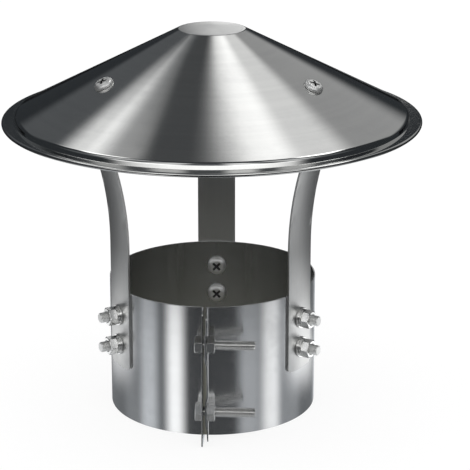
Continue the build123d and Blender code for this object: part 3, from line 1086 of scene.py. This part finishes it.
# %% The panels of the studio
cool = (0.965, 1.0, 1.035)
plain = (1.0, 1.0, 0.995)
panels = [
    ("room", 180, -45, 138, 36, 14, 5, 0.165, cool),
    ("front_floor", 0, -45, 42, 36, 14, 5, 0.035, plain),
    ("left_front_strip", -39, -45, 2, 36, 15, 5, 1.4, plain),
    ("left_strip", -73, -45, 3, 36, 15, 5, 0.62, cool),
    ("left_fill", -96, -45, 8, 36, 18, 5, 0.12, cool),
    ("right_front_fill", 46, -45, 4, 36, 18, 5, 0.33, cool),
    ("right_strip", 73, -45, 3, 36, 15, 5, 1.08, plain),
    ("right_fill", 97, -45, 12, 36, 18, 5, 0.2, cool),
    ("back_strip", 176, -45, 3, 36, 16, 5, 0.6, cool),
    ("upper_right", 163, 65, 8, 2, 26, 6, 0.65, plain),
    ("upper_right_middle", 156, 58, 14, 8, 20, 8, 0.55, plain),
    ("upper_right_low", 149, 40, 15, 20, 10, 14, 0.37, plain),
    ("upper_left", -133, 47.5, 9, 1.5, 7, 8, 0.95, plain),
    ("upper_left_top", -133, 56, 10, 5, 8, 4, 0.35, plain),
    ("upper_left_low", -150, 38, 15, 16, 20, 8, 0.08, cool),
    ("top_fill", -160, 70, 20, 8, 14, 8, 0.05, plain),
    ("behind", 181, 10, 2.2, 1.5, 2.5, 2, 1.3, plain),
    ("left_top_box", -118, 57, 12, 5, 8, 5, 1.8, plain),
    ("right_top_box", 118, 57, 14, 5, 8, 5, 3.0, plain),
    ("rim_light", 184, 21, 3, 0.5, 3, 1.5, 2.0, plain),
    ("front_low", 0, 26, 50, 5, 14, 5, 1.5, plain),
    ("front_room", 0, 47, 85, 20, 20, 8, 0.1, cool),
    ("front_left_high", -29, 47, 6, 19, 12, 7, 0.75, plain),
    ("front_right_high", 26, 47, 5, 19, 12, 7, 0.95, plain),
    ("far_left_high", -72, 54, 5, 12, 12, 6, 0.5, plain),
    ("far_right_high", 66, 54, 6, 12, 12, 6, 0.6, plain),
]
print("panels", len(panels))

# %% [markdown]
# The world adds the panels up, each times its brightness and tint. Light Path then picks what a ray
# sees: a glossy ray sees the panels, and every other ray sees plain white.

# %% The world
surround = (0.03, 0.034, 0.038)
to_degrees = 180 / pi
world = bpy.data.worlds.new("studio")
bpy.context.scene.world = world
world.use_nodes = True
tree = world.node_tree
tree.nodes.clear()
direction = add(tree, "ShaderNodeTexCoord").outputs["Generated"]
parts = add(tree, "ShaderNodeSeparateXYZ", {0: direction}).outputs
forwards = maths(tree, "MULTIPLY", parts["Y"], -1.0)
azimuth = maths(tree, "MULTIPLY", maths(tree, "ARCTAN2", parts["X"], forwards), to_degrees)
elevation = maths(tree, "MULTIPLY", maths(tree, "ARCSINE", parts["Z"]), to_degrees)
light = surround
for name, *sizes, brightness, tint in panels:
    inputs = dict(zip(panel_inputs, (azimuth, elevation, *sizes)))
    mask = add(tree, "ShaderNodeGroup", inputs, node_tree=soft_panel, label=name).outputs["Mask"]
    color = tuple(brightness * channel for channel in tint)
    inputs = {0: mask, 1: color, 2: light}
    light = add(tree, "ShaderNodeVectorMath", inputs, operation="MULTIPLY_ADD").outputs[0]
glossy = add(tree, "ShaderNodeLightPath").outputs["Is Glossy Ray"]
seen = add(tree, "ShaderNodeMix", {"Factor": glossy, "A": (1, 1, 1, 1), "B": light}, data_type="RGBA")
background = add(tree, "ShaderNodeBackground", {"Color": seen.outputs["Result"], "Strength": 1.0})
add(tree, "ShaderNodeOutputWorld", {"Surface": background.outputs[0]})
print("world nodes", len(tree.nodes))

# %% [markdown]
# The floor is a wide plane just under the collar. It glows almost white by itself, and a part of it is
# plain diffuse, which keeps the soft shadow where the cap stands. The steel looks through it at the
# studio, and further away the floor is dimmed for it. Two soft lit patches, one on each side of the
# cap, lighten the feet of the legs. Inside the collar the floor is painted shade instead: a dim dark
# glow for every ray, which the collar's inner wall shows.

# %% The floor's plane
floor_side = 12
floor_drop = 0.1 * mm
bpy.ops.object.select_all(action="DESELECT")
bpy.ops.mesh.primitive_plane_add(size=floor_side, location=(0, 0, -floor_drop))
floor = named("studio_floor")
floor_white = bpy.data.materials.new("floor_white")
floor_white.use_nodes = True
tree = floor_white.node_tree
tree.nodes.clear()
report(floor)

# %% The white floor, and painted shade inside the collar
glow_strength = 1.05
matt_share = 0.2
glow = add(tree, "ShaderNodeEmission", {"Color": (1, 1, 1, 1), "Strength": glow_strength})
matt = add(tree, "ShaderNodeBsdfDiffuse", {"Color": (0.97, 0.97, 0.97, 1)})
white = add(tree, "ShaderNodeMixShader", {0: matt_share, 1: glow.outputs[0], 2: matt.outputs[0]})
# Painted shade: inside the collar the floor glows a dim dark grey, standing in for the shade in the tube.
ground_shade = add(tree, "ShaderNodeEmission", {"Color": (0.105, 0.105, 0.09, 1), "Strength": 1.0})
place = plain_place(tree)
away = add(tree, "ShaderNodeVectorMath", {0: place}, operation="LENGTH").outputs["Value"]
outside = maths(tree, "GREATER_THAN", away, band_inner_radius)
print("dark ground within", band_inner_radius)

# %% What the steel sees of the floor
patches = ((-140 * mm, 1.0), (140 * mm, 1.5))
patch_y = 35 * mm
dim = fade(tree, away, start=200 * mm, end=300 * mm, low=1.0, high=0.15)
clear = add(tree, "ShaderNodeBsdfTransparent", {"Color": dim})
patch_light = 0.0
for patch_x, patch_strength in patches:
    inputs = {0: place, 1: (patch_x, patch_y, 0)}
    off_middle = add(tree, "ShaderNodeVectorMath", inputs, operation="DISTANCE").outputs["Value"]
    patch = fade(tree, off_middle, start=90 * mm, end=20 * mm)
    patch_light = maths(tree, "MULTIPLY_ADD", patch, patch_strength, patch_light)
lit = add(tree, "ShaderNodeEmission", {"Color": (1, 1, 1, 1), "Strength": patch_light})
steel_side = add(tree, "ShaderNodeAddShader", {0: clear.outputs[0], 1: lit.outputs[0]})
glossy = add(tree, "ShaderNodeLightPath").outputs["Is Glossy Ray"]
open_floor = add(tree, "ShaderNodeMixShader", {0: glossy, 1: white.outputs[0], 2: steel_side.outputs[0]})
shown = add(tree, "ShaderNodeMixShader", {0: outside, 1: ground_shade.outputs[0], 2: open_floor.outputs[0]})
add(tree, "ShaderNodeOutputMaterial", {"Surface": shown.outputs[0]})
floor.data.materials.append(floor_white)
print("floor nodes", len(tree.nodes))

# %% [markdown]
# ## The camera
# The camera stands about a metre away, a little to the right, and looks down at the cap by 18 degrees,
# as in the photograph.

# %% The camera and the view settings
camera_place = (0.0663, -0.9575, 0.3930)
look_down = 17.82
look_left = 3.3
focal_length = 157.38
bpy.ops.object.camera_add(
    location=camera_place, rotation=(radians(90 - look_down), 0, radians(look_left))
)
camera = bpy.context.object
camera.name = "camera"
camera.data.sensor_width = 36
camera.data.lens = focal_length
bpy.context.scene.camera = camera
bpy.context.scene.view_settings.view_transform = "Standard"
print("camera", [round(value, 3) for value in camera_place], "lens", focal_length)
